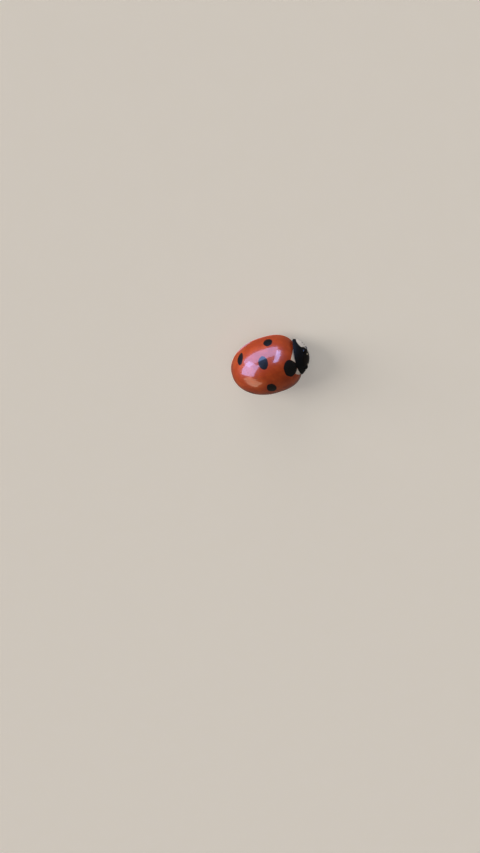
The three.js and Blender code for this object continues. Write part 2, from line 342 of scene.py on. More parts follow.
def grain(tree, place, perMillimetre, micrometres):
    # low round grains, scattered and a little apart, as a bump
    cells = addNode(tree, "TexVoronoi", {"feature": "F1"}, {"Vector": place, "Scale": perMillimetre})
    height = addNode(tree, "MapRange", {"interpolation_type": "SMOOTHSTEP"}, {0: cells, 1: 0.35, 2: 0})
    return addNode(tree, "Bump", {}, {"Height": height, "Distance": micrometres * 1e-6, "Strength": 1.0})


back = {
    "length": 5.9,
    "height": caseHigh.z - marginZ,
    "halfWidth": outerX - 0.06,   # without the rim of the solids
    "broadestY": rearY - 3.363,
    "rearReach": 3.363,
    "crestReach": 3.776,
    "sideReach": 2.78,
    "shoulderCurve": 2.9,      # exponent of the side curve in front of the broadest place
    "rearCurve": 2.08,         # exponent of the back line behind it
    "baseArcRadius": 11.0,     # joint between neck shield and wing cases, seen from above
    "baseArcY": rearY - 5.93,
    "drumSides": 300,
    "drumHeight": 12,
    "drumMiddle": 2,
}


def root(value, exponent):
    return max(value, 0) ** (1 / exponent)


def crestAt(y):
    behind = y - back["broadestY"]
    if behind < 0:
        return back["height"] * root(1 - (behind / back["crestReach"]) ** 2, 2)
    return back["height"] * root(1 - (behind / back["rearReach"]) ** back["rearCurve"], back["rearCurve"])


def halfWidthAt(y):
    behind = y - back["broadestY"]
    if behind > 0:
        return back["halfWidth"] * root(1 - (behind / back["rearReach"]) ** 2, 2)
    reach = min(-behind / back["sideReach"], 1)
    return back["halfWidth"] * root(1 - reach ** back["shoulderCurve"], back["shoulderCurve"])


def drum(grow):
    # a broad upright cylinder in front of the joint
    bpy.ops.object.select_all(action="DESELECT")
    bpy.ops.mesh.primitive_cylinder_add(
        vertices=back["drumSides"], radius=back["baseArcRadius"] + grow, depth=back["drumHeight"],
        location=(0, back["baseArcY"] - back["baseArcRadius"], back["drumMiddle"]))
    cutter = added("drum")
    applyPlace(cutter)
    return cutter


wingCases = {
    "sides": 128,
    "rings": 96,
    "thickness": 0.06,
    "seamGap": 0.003,
    "baseGap": 0.02,
    "rimTop": 0.10,          # the rim begins this far above the lower edge
    "rimWidth": 0.055,
    "rim": ((0.75, -0.05), (1.0, -0.03), (0.8, -0.02)),   # share of the width, and step in height
    "foldWidth": 0.42,       # the lower edge turns in under the body
    "foldRise": 0.07,
    "foldLip": (0.05, 0.12), # its inner end: how much further in, and step in height
    "depthBelow": 0.5,       # of the whole form below that edge, before it is cut off
    "edgeRounding": 0.014,
    "scutellumLength": 0.4,
    "scutellumHalfWidth": 0.24,
}


def wingRing(share):
    reach = -math.cos(math.pi * share)
    y = back["broadestY"] + reach * (back["sideReach"] if reach < 0 else back["rearReach"])
    return y, halfWidthAt(y), crestAt(y), wingCases["depthBelow"], marginZ


def onDrum(face, grow):
    center = face.calc_center_median()
    reach = math.hypot(center.x, center.y - back["baseArcY"] + back["baseArcRadius"])
    return abs(reach - back["baseArcRadius"] - grow) < 0.003 and abs(face.normal.z) < 0.02


def makeWingCases():
    # The back is made as a thin surface, open along the base and the lower edge, and halved.
    shell = ringedBall("wingCaseLeft", wingCases["sides"], wingCases["rings"], wingRing)
    cutter = drum(wingCases["baseGap"])
    carve(shell, cutter)
    remove(cutter)
    work(shell)
    bpy.ops.object.mode_set(mode="EDIT")
    pick(shell, "FACE", lambda face: onDrum(face, wingCases["baseGap"]))
    bpy.ops.mesh.delete(type="FACE")
    low = marginZ + wingCases["rimTop"]
    bisectPiece(shell, (0, 0, low), (0, 0, 1), True)
    plate = copyOf(shell, "scutellumPlate")
    gap = wingCases["seamGap"]
    slant = Vector((wingCases["scutellumLength"], wingCases["scutellumHalfWidth"], 0)).normalized()
    tip = Vector((0, back["baseArcY"] + wingCases["scutellumLength"], 0))
    for side in (1, -1):
        bisectPiece(plate, tip, (slant.x * side, slant.y, 0), False)
    bisectPiece(shell, (gap / 2, 0, 0), (1, 0, 0), True)
    bisectPiece(shell, tip + slant * gap, slant, True)
    work(shell)
    bpy.ops.object.mode_set(mode="EDIT")
    pick(shell, "EDGE", lambda edge: edge.is_boundary
         and all(abs(end.co.z - low) < 1e-4 for end in edge.verts))
    width, fold = wingCases["rimWidth"], wingCases["foldWidth"]
    lipWidth, lipRise = wingCases["foldLip"]
    profile = [(width * share, rise) for share, rise in wingCases["rim"]]
    profile += [(-fold, wingCases["foldRise"]), (-fold - lipWidth, lipRise)]
    reach = 0
    for outward, rise in profile:
        bpy.ops.mesh.extrude_region_move(TRANSFORM_OT_translate={"value": (0, 0, rise)})
        factors = [(size + outward) / (size + reach) for size in (back["halfWidth"], back["length"])]
        bpy.ops.transform.resize(value=(*factors, 1), center_override=(0, back["baseArcY"], 0))
        reach = outward
    bpy.ops.object.mode_set(mode="OBJECT")
    for piece in (shell, plate):
        tidyMesh(piece)
        modify(piece, "SOLIDIFY", thickness=wingCases["thickness"], offset=-1)
        roundEdges(piece, wingCases["edgeRounding"])
    return shell, mirrored(shell, "wingCaseRight"), plate


spots = {
    # place along the case (0 base, 1 tip), degrees down from the middle line,
    # half sizes across and along in millimetres, turn in radians
    "shared": (0.083, 0.0, 0.74, 0.6, 0.0),
    "front": (0.315, 68.5, 0.5, 0.39, 0.0),
    "middle": (0.43, 28.8, 0.58, 0.41, 0.0),
    "rear": (0.77, 57.0, 0.63, 0.35, -0.17),
    "depth": 1.2,              # half size through the wing case
    "edge": (1.07, 1.15),      # where the black is full and where it has faded, in half sizes
    "waver": 0.22,             # how much noise moves the edge
    "spotColor": "#0d0909",
    "redColors": ("#d2581c", "#be4712"),
    "paleColor": "#fbf2ec",
    "paleCorners": ((0.2, -0.02), (0.66, 0.33), (1.3, -0.03)),   # across, and behind the base
    "grainsPerMillimetre": 9,
    "grainHeight": 2.2,        # in micrometres
}


def spotDistance(tree, place, share, degrees, halfAcross, halfAlong, turn):
    y, down = rearY - back["length"] * (1 - share), math.radians(degrees)
    step = 0.01

    def backPoint(y, down):
        return Vector((halfWidthAt(y) * math.sin(down), y, marginZ + crestAt(y) * math.cos(down)))

    across = (backPoint(y, down + step) - backPoint(y, down - step)).normalized()
    along = (backPoint(y + step, down) - backPoint(y - step, down)).normalized()
    outward = across.cross(along).normalized()
    side = (across * math.cos(turn) + along * math.sin(turn)).normalized()
    angles = Matrix((side, outward.cross(side), outward)).transposed().to_euler()
    return distanceFrom(tree, place, backPoint(y, down), (halfAcross, halfAlong, spots["depth"]), angles)


def outsidePale(tree, place):
    # how far a place is outside the pale three-cornered patch beside the shared spot
    inner, middle, outer = (Vector((x, back["baseArcY"] - x * x / (2 * back["baseArcRadius"]) + behind, 0))
                            for x, behind in spots["paleCorners"])
    sides = []
    for start, end in ((inner, middle), (middle, outer)):
        outward = Vector((start.y - end.y, end.x - start.x, 0)).normalized()
        sides.append(beyondPlane(tree, place, outward, outward.dot(start)))
    return addNode(tree, "Math", {"operation": "MAXIMUM"}, {0: sides[0], 1: sides[1]})


def makeWingFinish():
    # Hard chitin under a clear waxy layer, which gives the red its depth and a wet gloss.
    material, tree, place = newFinish("wing case chitin", {
        "Roughness": 0.36, "IOR": 1.35, "Coat Weight": 1.0, "Coat Roughness": 0.1, "Coat IOR": 1.5})
    mirroredPlace = folded(tree, place)
    nearest = 9.0
    for name in ("shared", "front", "middle", "rear"):
        distance = spotDistance(tree, mirroredPlace, *spots[name])
        nearest = addNode(tree, "Math", {"operation": "MINIMUM"}, {0: nearest, 1: distance})
    uneven = addNode(tree, "TexNoise", {}, {"Vector": place, "Scale": 2.6, "Detail": 3.0})
    nearest = addNode(tree, "Math", {"operation": "MULTIPLY_ADD"}, {0: uneven, 1: spots["waver"], 2: nearest})
    cloudy = addNode(tree, "TexNoise", {}, {"Vector": place, "Scale": 1.1, "Detail": 3.0})
    color = blend(tree, cloudy, 0.35, 0.68, *[linear(red) for red in spots["redColors"]])
    color = blend(tree, outsidePale(tree, mirroredPlace), -0.02, 0.02, color, linear(spots["paleColor"]))
    color = blend(tree, nearest, *spots["edge"], color, linear(spots["spotColor"]))
    # the texture is drawn coarser than in life, so that it shows
    bump = grain(tree, place, spots["grainsPerMillimetre"], spots["grainHeight"])
    setSurface(tree, {"Base Color": color, "Normal": bump})
    return material


chitins = {
    # colours, roughness, grains per millimetre, their height in micrometres, and waxy coat
    # plain black with a soft shine
    "black": (("#0d0c0c", "#17120f"), 0.38, 11, 1.5, 0.35),
    # the darkest, and almost without a coat, so that the shield looks dull beside the wing cases
    "neck shield": (("#070707", "#0d0b0b"), 0.5, 12, 1.2, 0.08),
    # rougher and browner than the plain black, which makes the underside duller
    "belly": (("#100d0c", "#1d1612"), 0.45, 10, 2.0, 0.35),
    # the tallest grains, which break up the shine of the face
    "head": (("#13100e", "#211915"), 0.36, 12, 4.0, 0.35),
    # fine grains, clouded with brown as thin limbs are
    "leg": (("#100d0c", "#2a1a12"), 0.42, 16, 1.0, 0.35),
    # brown and nearly smooth, as the thin chitin of feelers and mouthparts looks
    "feeler": (("#4a2a17", "#2a1710"), 0.4, 20, 0.8, 0.4),
    # pale and without a coat, so that the bristles look dry
    "seta": (("#a9a294", "#8f887a"), 0.5, 30, 0.1, 0.0),
}


def makeChitin(name):
    # Chitin in two clouded shades, with fine grains: a softer gloss than the wing cases.
    colors, roughness, perMillimetre, micrometres, coat = chitins[name]
    material, tree, place = newFinish(name + " chitin", {
        "Roughness": roughness, "IOR": 1.4, "Coat Weight": coat, "Coat Roughness": 0.14, "Coat IOR": 1.45})
    cloudy = addNode(tree, "TexNoise", {}, {"Vector": place, "Scale": 3.0, "Detail": 3.0})
    color = blend(tree, cloudy, 0.35, 0.65, *[linear(shade) for shade in colors])
    setSurface(tree, {"Base Color": color, "Normal": grain(tree, place, perMillimetre, micrometres)})
    return material, tree, place, color


blackFinish = makeChitin("black")[0]

leftCase, rightCase, scutellum = makeWingCases()
wingFinish = makeWingFinish()
print("wing cases", [len(piece.data.polygons) for piece in (leftCase, rightCase, scutellum)])
finish(leftCase, wingFinish, ["wing_case_left"])
finish(rightCase, wingFinish, ["wing_case_right"])
finish(scutellum, blackFinish, ["scutellum"])

neck = placed(0, -2.6, 0)   # head and neck shield turn about an upright line here
undersideCurve = 3.2   # exponent of the cross-section below
noseClosing = 0.35     # share of a form over which its ends close

shield = {
    "sides": 112,
    "rings": 72,
    "halfWidth": 1.7,
    "broadestY": -2.2,
    "frontReach": 1.25,
    "rearReach": 1.4,
    "sideCurve": 1.9,
    "edgeRise": 0.3,
    "rearY": -1.9,
    "turn": -0.17,
    "edgeRounding": 0.03,
    "collar": ((0, -3.46, 1.5), (1.16, 0.66, 1.12)),
    "throatSize": 8,         # of the block that cuts the throat
    "throatSlope": -0.58,
    "throatCorner": (0, -2.84, 0.88),
    "breast": ((0, -2.48, 0.85), (0.9, 0.52, 0.42)),
    "patchColor": "#f0f0f4",
    # the cream corner lies behind two planes: the way each faces, in degrees round from the beetle's
    # left towards its tail and up, and its distance from the neck at floor level
    "patchPlanes": ((130, 0, -1.0), (220, 35, 0.5)),
    "patchRounding": 0.06,
}

headShape = {
    "turn": -0.24,
    "tilt": -0.42,
    "center": (0, -2.98, 1.5),
    "radii": (0.9, 0.47, 0.76),
    "eyeCenter": (0.73, -3.04, 1.6),
    "eyeRadii": (0.25, 0.3, 0.37),
    "socket": ((0.59, -3.27, 1.04), 0.11),      # the feeler stands in it
    "groove": (0.5, -0.37, -0.15, 0.016),       # half length, height, drop at its ends and thickness
    "palePatch": ((0.46, -0.82, 1.66), (0.075, 0.3, 0.1)),   # from the neck
    "paleColor": "#d8d0bd",
}

legs = {
    "front": {"base": (0.42, -2.44, 0.8), "baseRadii": (0.3, 0.2, 0.24),
              "joints": [(0.62, -2.42, 0.5), (1.38, -2.4, 0.48), (0.98, -2.92, 0.25), (0.66, -3.16, 0.17)]},
    "middle": {"base": (0.62, -1.32, 0.8), "baseRadii": (0.27, 0.25, 0.22),
               "joints": [(0.84, -1.27, 0.5), (1.86, -0.98, 0.48), (1.86, -0.1, 0.25), (2.02, 0.42, 0.17)]},
    "hind": {"base": (0.7, -0.02, 0.8), "baseRadii": (0.48, 0.22, 0.2),
             "joints": [(0.9, 0.14, 0.5), (1.7, 1.0, 0.48), (1.56, 1.98, 0.25), (1.26, 2.52, 0.17)]},
}


def cutSockets(piece, names):
    # rounded sockets that the leg bases sit in
    gap = 0.025
    for name in names:
        leg = legs[name]
        for side in (1, -1):
            x, y, z = leg["base"]
            ball = ellipsoid("socket", (side * x, y, z), [size + gap for size in leg["baseRadii"]], 40, 24)
            carve(piece, ball)
            remove(ball)


def shieldRing(share):
    frontY, rearEnd = shield["broadestY"] - shield["frontReach"], shield["rearY"]
    y = (frontY + rearEnd) / 2 - math.cos(math.pi * share) * (rearEnd - frontY) / 2
    closing = min(1, math.sin(math.pi * share) / noseClosing)
    longest = shield["frontReach"] if y < shield["broadestY"] else shield["rearReach"]
    reach = abs(y - shield["broadestY"]) / longest
    halfWidth = shield["halfWidth"] * root(1 - reach ** shield["sideCurve"], shield["sideCurve"])
    edge = shield["edgeRise"] * closing
    y += shiftY
    return y, halfWidth * closing, (crestAt(y) - edge) * closing, edge, marginZ + edge


def makeShield():
    plate = ringedBall("neckShield", shield["sides"], shield["rings"], shieldRing, undersideCurve)
    turnAbout(plate, shield["turn"], neck)
    joint = drum(0)
    carve(plate, joint, "INTERSECT")
    collar = ellipsoid("collar", *shield["collar"], 64, 48, headShape["tilt"])
    bpy.ops.object.select_all(action="DESELECT")
    size = shield["throatSize"]
    bpy.ops.mesh.primitive_cube_add(size=size, location=(0, -size / 2, -size / 2))
    throat = added("throat")
    applyPlace(throat)
    throat.rotation_euler.x = shield["throatSlope"]
    throat.location = placed(*shield["throatCorner"])
    applyPlace(throat)
    for tool in (collar, throat):
        turnAbout(tool, headShape["turn"], neck)
        carve(plate, tool)
    breast = copyOf(plate, "breastPlate")
    bulge = ellipsoid("bulge", *shield["breast"])
    carve(breast, bulge, "INTERSECT")
    carve(plate, bulge)
    remove(joint, collar, throat, bulge)
    for piece in (plate, breast):
        cutSockets(piece, ["front"])
        tidyMesh(piece)
        roundEdges(piece, shield["edgeRounding"], 3, 35)
    return plate, breast


def makeShieldFinish():
    # Black chitin, its front corners cream where the pigment is missing.
    material, tree, place, black = makeChitin("neck shield")
    local = folded(tree, beforeTurn(tree, place, shield["turn"]))
    edges = []
    for azimuth, elevation, distance in shield["patchPlanes"]:
        edges.append(beyondPlane(tree, local, toward(azimuth, elevation), distance))
    edge = addNode(tree, "Math", {"operation": "SMOOTH_MAX"},
                   {0: edges[0], 1: edges[1], 2: shield["patchRounding"]})
    setSurface(tree, {"Base Color": blend(tree, edge, -0.01, 0.015, black, linear(shield["patchColor"]))})
    return material


neckShield, breastPlate = makeShield()
print("neck shield", len(neckShield.data.polygons), len(breastPlate.data.polygons))

body = {
    "sides": 96,
    "rings": 150,
    "frontY": -2.6,
    "thickness": 0.2,        # how far the body lies inside the outer face of the wing cases
    "tailGap": 1.6,          # the same at the tail, in thicknesses
    "waistRise": 0.32,       # broadest this far above the lower edge of the wing cases
    "bellyRise": 0.06,
    "waistY": 0.15,
    "waistGap": 0.024,
    "baseGap": 0.03,
    "grooves": (0.75, 1.3, 1.8, 2.25, 2.65),   # between the plates of the belly
    "grooveDepth": 0.045,
    "grooveWidth": 0.035,
    "sidePatch": ((1.95, -1.45, 1.0), (0.32, 0.45, 0.5)),
    "patchColor": "#cfc7b8",
}


def bodyRing(share):
    thickness = body["thickness"]
    frontY, rearEnd = body["frontY"] + shiftY, rearY - body["tailGap"] * thickness
    y = (frontY + rearEnd) / 2 - math.cos(math.pi * share) * (rearEnd - frontY) / 2
    closing = min(1, math.sin(math.pi * share) / noseClosing)
    halfWidth = max(halfWidthAt(y) - thickness, 0) * closing
    crest = max(crestAt(y) - thickness, 0) * closing
    middle = min(body["waistRise"], crest / 2)
    groove = sum(math.exp(-((y - shiftY - at) / body["grooveWidth"]) ** 2) for at in body["grooves"])
    depth = max(middle - body["bellyRise"] - body["grooveDepth"] * groove, 0.01) * closing
    return y, halfWidth, crest - middle, depth, marginZ + middle


def makeBody():
    chest = ringedBall("chest", body["sides"], body["rings"], bodyRing, undersideCurve)
    cutter = drum(body["baseGap"])
    carve(chest, cutter)
    remove(cutter)
    belly = copyOf(chest, "belly")
    waist, halfGap = body["waistY"] + shiftY, body["waistGap"] / 2
    bisectPiece(chest, (0, waist - halfGap, 0), (0, 1, 0), False, True)
    bisectPiece(belly, (0, waist + halfGap, 0), (0, 1, 0), True, True)
    cutSockets(chest, ["middle", "hind"])
    cutSockets(belly, ["hind"])
    for piece in (chest, belly):
        tidyMesh(piece)
        roundEdges(piece, 0.02, 2, 45)
    return chest, belly


chest, belly = makeBody()
print("body", len(chest.data.polygons), len(belly.data.polygons))


def facePoint(x, height):
    # a place on the skull, height being measured along its own leaning axis
    across, deep, tall = headShape["radii"]
    point = Vector((x, -deep * math.sqrt(1 - (x / across) ** 2 - (height / tall) ** 2), height))
    return placed(*headShape["center"]) + Matrix.Rotation(headShape["tilt"], 3, "X") @ point


mouth = {
    # rings of (height, half width, half depth) for the jaw
    "lip": ((0, -3.24, 0.98), (0.4, 0.15, 0.2)),
    "lipTilt": -0.2,
    "lipGap": 0.03,
    "lipEdge": 0.82,           # the upper lip is cut off below this height
    "jaw": [(0, 0.1, 0.08), (0.12, 0.13, 0.1), (0.24, 0.09, 0.08), (0.34, 0.05, 0.05), (0.4, 0.01, 0.01)],
    "jawPath": [(0.33, -2.98, 0.8), (0.26, -3.14, 0.78), (0.05, -3.22, 0.76)],
    "lowerLip": ((0, -3.02, 0.64), (0.26, 0.15, 0.13)),
    "lowerLipFront": -3.12,    # the lower lip is cut off in front of this
}


def makeHead():
    skull = ellipsoid("headCapsule", headShape["center"], headShape["radii"], 96, 64, headShape["tilt"])
    eye = ellipsoid("eyeLeft", headShape["eyeCenter"], headShape["eyeRadii"], 64, 40, headShape["tilt"])
    lipCenter, lipRadii = mouth["lip"]
    lip = ellipsoid("lipPlate", lipCenter, lipRadii, 64, 32, mouth["lipTilt"])
    for side in (1, -1):
        socket = ellipsoid("eyeSocket", (side * headShape["eyeCenter"][0], *headShape["eyeCenter"][1:]),
                           [size + 0.02 for size in headShape["eyeRadii"]], 64, 40, headShape["tilt"])
        carve(skull, socket)
        remove(socket)
        (x, y, z), radius = headShape["socket"]
        pit = ellipsoid("antennaSocket", (side * x, y, z), (radius,) * 3, 32, 20)
        carve(skull, pit)
        remove(pit)
    gapRadii = [size + mouth["lipGap"] for size in lipRadii]
    gap = ellipsoid("lipGap", lipCenter, gapRadii, 64, 32, mouth["lipTilt"])
    halfLength, height, drop, thickness = headShape["groove"]
    path = [facePoint(share * halfLength, height + drop * share ** 2) for share in (-1, -0.5, 0, 0.5, 1)]
    length = sum((end - start).length for start, end in zip(path, path[1:]))
    steps = 16
    rings = [(length * step / steps, thickness, thickness) for step in range(steps + 1)]
    groove = rod("faceGroove", rings, 10, path)
    for tool in (gap, groove):
        carve(skull, tool)
        remove(tool)
    tidyMesh(skull)
    roundEdges(skull, 0.02, 2, 40)
    bisectPiece(lip, placed(0, 0, mouth["lipEdge"]), (0, 0, 1), True, True)
    roundEdges(lip, 0.03, 3, 40)
    jaw = rod("jawLeft", mouth["jaw"], 16, [placed(*point) for point in mouth["jawPath"]])
    lowerLip = ellipsoid("lowerLip", *mouth["lowerLip"], 40, 24)
    bisectPiece(lowerLip, placed(0, mouth["lowerLipFront"], 0), (0, 1, 0), True, True)
    roundEdges(lowerLip, 0.02, 2, 40)
    return {"head": skull, "labrum": lip, "labium": lowerLip, "eye_left": eye, "jaw_left": jaw,
            "eye_right": mirrored(eye, "eyeRight"), "jaw_right": mirrored(jaw, "jawRight")}


feelers = {
    # segments of (length, half width at their broadest), the last three making the club
    "antenna": [(0.16, 0.075), (0.09, 0.06), (0.11, 0.045), (0.075, 0.042), (0.07, 0.044), (0.06, 0.046),
                (0.06, 0.05), (0.06, 0.058), (0.085, 0.095), (0.08, 0.115), (0.075, 0.08)],
    "antennaPath": [(0.5, -3.18, 1.12), (0.66, -3.3, 0.96), (0.76, -3.28, 0.76), (0.76, -3.08, 0.6)],
    "palp": [(0.1, 0.055), (0.13, 0.07), (0.1, 0.075)],
    "palpPath": [(0.33, -3.06, 0.88), (0.42, -3.2, 0.78), (0.38, -3.3, 0.6), (0.3, -3.28, 0.46)],
    # rings of the flat hatchet that ends the palp: (height, half width, half depth)
    "hatchet": [(0.01, 0.05, 0.045), (0.05, 0.09, 0.06), (0.12, 0.14, 0.065), (0.18, 0.175, 0.06),
                (0.2, 0.165, 0.045), (0.212, 0.13, 0.02)],
    # how a segment swells: share of its length and of its width
    "swelling": ((0.02, 0.55), (0.12, 0.7), (0.5, 0.88), (0.85, 1.0), (0.97, 0.8)),
}


def segmentRings(segments):
    rings, height = [], 0.0
    for length, width in segments:
        for share, size in feelers["swelling"]:
            rings.append((height + length * share, width * size, width * size))
        height += length
    return rings


def makeFeelers():
    antenna = rod("antennaLeft", segmentRings(feelers["antenna"]), 16,
                  [placed(*point) for point in feelers["antennaPath"]])
    rings = segmentRings(feelers["palp"])
    start = rings[-1][0]
    rings += [(start + height, across, deep) for height, across, deep in feelers["hatchet"]]
    palp = rod("palpLeft", rings, 20, [placed(*point) for point in feelers["palpPath"]])
    return {"antenna_left": antenna, "antenna_right": mirrored(antenna, "antennaRight"),
            "palp_left": palp, "palp_right": mirrored(palp, "palpRight")}


headPieces, feelerPieces = makeHead(), makeFeelers()
for piece in (*headPieces.values(), *feelerPieces.values()):
    turnAbout(piece, headShape["turn"], neck)
print("head and feelers")


def standing(start, direction):
    # stands the Z axis at the start, along the direction
    return Matrix.Translation(start) @ direction.to_track_quat("Z", "Y").to_matrix().to_4x4()


def between(piece, start, end):
    piece.matrix_world = standing(start, end - start)
    applyPlace(piece)
    return piece


footShape = {
    # The foot points along X with its ankle over the origin: two lobed joints and a slender last
    # one that carries the toothed claws. Each has rings, a number of sides and a path.
    "joints": {
        "footJoint": ([(0, 0.05, 0.045), (0.05, 0.07, 0.06), (0.17, 0.1, 0.06), (0.2, 0.06, 0.04)], 16,
                      [(0, 0, 0.25), (0.1, 0, 0.17), (0.19, 0, 0.11)]),
        "footLobe": ([(0, 0.05, 0.04), (0.05, 0.1, 0.05), (0.14, 0.13, 0.05), (0.19, 0.1, 0.03),
                      (0.2, 0.04, 0.01)], 20, [(0.15, 0, 0.12), (0.24, 0, 0.075), (0.34, 0, 0.055)]),
        "footSole": ([(0, 0.06, 0.02), (0.04, 0.1, 0.03), (0.12, 0.11, 0.03), (0.17, 0.06, 0.01)], 16,
                     [(0.18, 0, 0.03), (0.26, 0, 0.03), (0.34, 0, 0.03)]),
        "clawJoint": ([(0, 0.025, 0.025), (0.05, 0.03, 0.03), (0.22, 0.042, 0.04), (0.27, 0.05, 0.045),
                       (0.29, 0.03, 0.03)], 14, [(0.24, 0, 0.11), (0.38, 0, 0.14), (0.5, 0, 0.09)]),
    },
    "claws": {
        "claw": ([(0, 0.026, 0.026), (0.07, 0.024, 0.022), (0.13, 0.014, 0.014), (0.17, 0.003, 0.003)], 10,
                 [(0.48, 0.015, 0.09), (0.55, 0.05, 0.1), (0.61, 0.075, 0.06), (0.62, 0.08, 0.004)]),
        "clawTooth": ([(0, 0.02, 0.02), (0.05, 0.008, 0.008), (0.07, 0.002, 0.002)], 8,
                      [(0.51, 0.03, 0.08), (0.545, 0.035, 0.02)]),
    },
    "length": 0.62,
}


def makeFoot():
    parts = [rod(name, *shape) for name, shape in footShape["joints"].items()]
    for side in (1, -1):
        for name, (rings, sides, path) in footShape["claws"].items():
            parts.append(rod(name, rings, sides, [(x, side * y, z) for x, y, z in path]))
    return joined(parts, "foot")


foot = makeFoot()


limbs = {
    # rings of (height, half width, half depth); in femur and tibia the height is a share of the length
    "link": [(0, 0.13, 0.12), (0.12, 0.15, 0.13), (0.26, 0.12, 0.11), (0.3, 0.06, 0.06)],
    "linkStart": (0.04, 0, -0.1),
    "linkEnd": (0.02, 0, -0.02),
    "femur": [(-0.06, 0.06, 0.05), (0.0, 0.13, 0.1), (0.2, 0.18, 0.14), (0.42, 0.22, 0.16),
              (0.62, 0.215, 0.155), (0.8, 0.18, 0.14), (0.92, 0.14, 0.12), (1.0, 0.12, 0.11),
              (1.05, 0.07, 0.06)],
    "tibia": [(-0.04, 0.06, 0.05), (0.02, 0.1, 0.09), (0.1, 0.085, 0.08), (0.4, 0.095, 0.08),
              (0.75, 0.115, 0.085), (0.93, 0.125, 0.09), (0.99, 0.11, 0.08), (1.02, 0.05, 0.04)],
    "spur": [(0, 0.014, 0.014), (0.06, 0.01, 0.01), (0.11, 0.002, 0.002)],
    "spurDrop": 0.02,
    "spurLean": (0.3, 0.2),      # sideways, one spur each way
    "spurSlope": -0.2,
    "clawReach": 0.12,           # the foot reaches this far past its last joint
}


def makeLimb(name, rings, sides, start, end):
    span = (end - start).length
    limb = rod(name, [(share * span, across, deep) for share, across, deep in rings], sides)
    between(limb, start, end)
    modify(limb, "SUBSURF", levels=1, render_levels=1)
    return limb


def makeLeg(name, leg):
    hip, knee, ankle, claw = (placed(*joint) for joint in leg["joints"])
    label = name.capitalize()
    base = ellipsoid("base" + label, leg["base"], leg["baseRadii"], 40, 24)
    link = rod("link", limbs["link"], 20)
    between(link, placed(*leg["base"]) + Vector(limbs["linkStart"]), hip + Vector(limbs["linkEnd"]))
    coxa = joined([base, link], "coxa" + label + "Left")
    femur = makeLimb("femur" + label + "Left", limbs["femur"], 24, hip, knee)
    tibia = makeLimb("tibia" + label + "Left", limbs["tibia"], 20, knee, ankle)
    leanX, leanY = limbs["spurLean"]
    spurs = []
    for side in (1, -1):
        spur = rod("spur", limbs["spur"], 8)
        start = ankle - Vector((0, 0, limbs["spurDrop"]))
        direction = (ankle - knee).normalized() + Vector((side * leanX, side * leanY, limbs["spurSlope"]))
        spurs.append(between(spur, start, start + direction))
    tibia = joined([tibia, *spurs], tibia.name)
    tarsus = copyOf(foot, "tarsus" + label + "Left")
    direction = Vector((claw.x - ankle.x, claw.y - ankle.y, 0))
    tarsus.scale.x = (direction.length + limbs["clawReach"]) / footShape["length"]
    applyPlace(tarsus)
    tarsus.rotation_euler.z = math.atan2(direction.y, direction.x)
    tarsus.location = (ankle.x, ankle.y, 0)
    applyPlace(tarsus)
    return {"coxa": coxa, "femur": femur, "tibia": tibia, "tarsus": tarsus}


legPieces = {}
for name, leg in legs.items():
    for part, piece in makeLeg(name, leg).items():
        legPieces[f"leg_{name}_{part}_left"] = piece
        legPieces[f"leg_{name}_{part}_right"] = mirrored(piece, piece.name.replace("Left", "Right"))
remove(foot)
print("legs")

hairs = {
    "seed": 7,
    "belly": (420, 0.09),    # how many and how long
    "legs": (260, 0.06),
    "face": (70, 0.07),
    "root": -0.02,           # where the hair starts, under the surface
    "thickness": 0.006,
    "spread": 0.3,
}


def makeHairs(name, surfaces, count, length, lean, chosen):
    thickness, spread = hairs["thickness"], hairs["spread"]
    seta = rod(name, [(hairs["root"], thickness, thickness), (length * 0.5, thickness * 0.7, thickness * 0.7),
                      (length, thickness * 0.15, thickness * 0.15)], 4)
    faces = [(face.center.copy(), face.normal.copy(), face.area) for piece in surfaces
             for face in piece.data.polygons if chosen(face.center, face.normal)]
    random.seed(hairs["seed"])
    copies = [seta]
    for center, normal, area in random.choices(faces, [face[2] for face in faces], k=count - 1):
        hair = seta.copy()
        hair.data = seta.data.copy()
        bpy.context.collection.objects.link(hair)
        stray = Vector([random.uniform(-spread, spread) for axis in range(3)])
        direction = (normal + Vector(lean) + stray).normalized()
        hair.matrix_world = standing(center, direction)
        copies.append(hair)
    center, normal = faces[0][:2]
    seta.matrix_world = standing(center, normal)
    hairPiece = joined(copies, name)
    applyPlace(hairPiece)
    return hairPiece


thinLegs = [piece for node, piece in legPieces.items() if "tibia" in node or "femur" in node]
hairPieces = [
    makeHairs("bellyHairs", [chest, belly], *hairs["belly"], (0, 0.9, 0),
              lambda center, normal: normal.z < -0.6 and abs(center.x) < 1.9),
    makeHairs("legHairs", thinLegs, *hairs["legs"], (0, 0, -0.4), lambda center, normal: True),
    makeHairs("faceHairs", [headPieces["labrum"], headPieces["head"]], *hairs["face"], (0, -0.2, -0.7),
              lambda center, normal: normal.y < -0.3 and center.z < 1.5),
]
print("hairs")

shieldFinish = makeShieldFinish()
finish(neckShield, shieldFinish, ["pronotum"])


def patchedFinish(name, patch, patchColor, turn=0):
    # chitin with one pale oval on each side
    material, tree, place, black = makeChitin(name)
    if turn:
        place = beforeTurn(tree, place, turn)
    distance = distanceFrom(tree, folded(tree, place), *patch)
    setSurface(tree, {"Base Color": blend(tree, distance, 0.92, 1.06, black, linear(patchColor))})
    return material


patchCenter, patchRadii = body["sidePatch"]
bodyFinish = patchedFinish("belly", (placed(*patchCenter), patchRadii), body["patchColor"])
headFinish = patchedFinish("head", headShape["palePatch"], headShape["paleColor"], headShape["turn"])
legFinish = makeChitin("leg")[0]
feelerFinish = makeChitin("feeler")[0]
hairFinish = makeChitin("seta")[0]

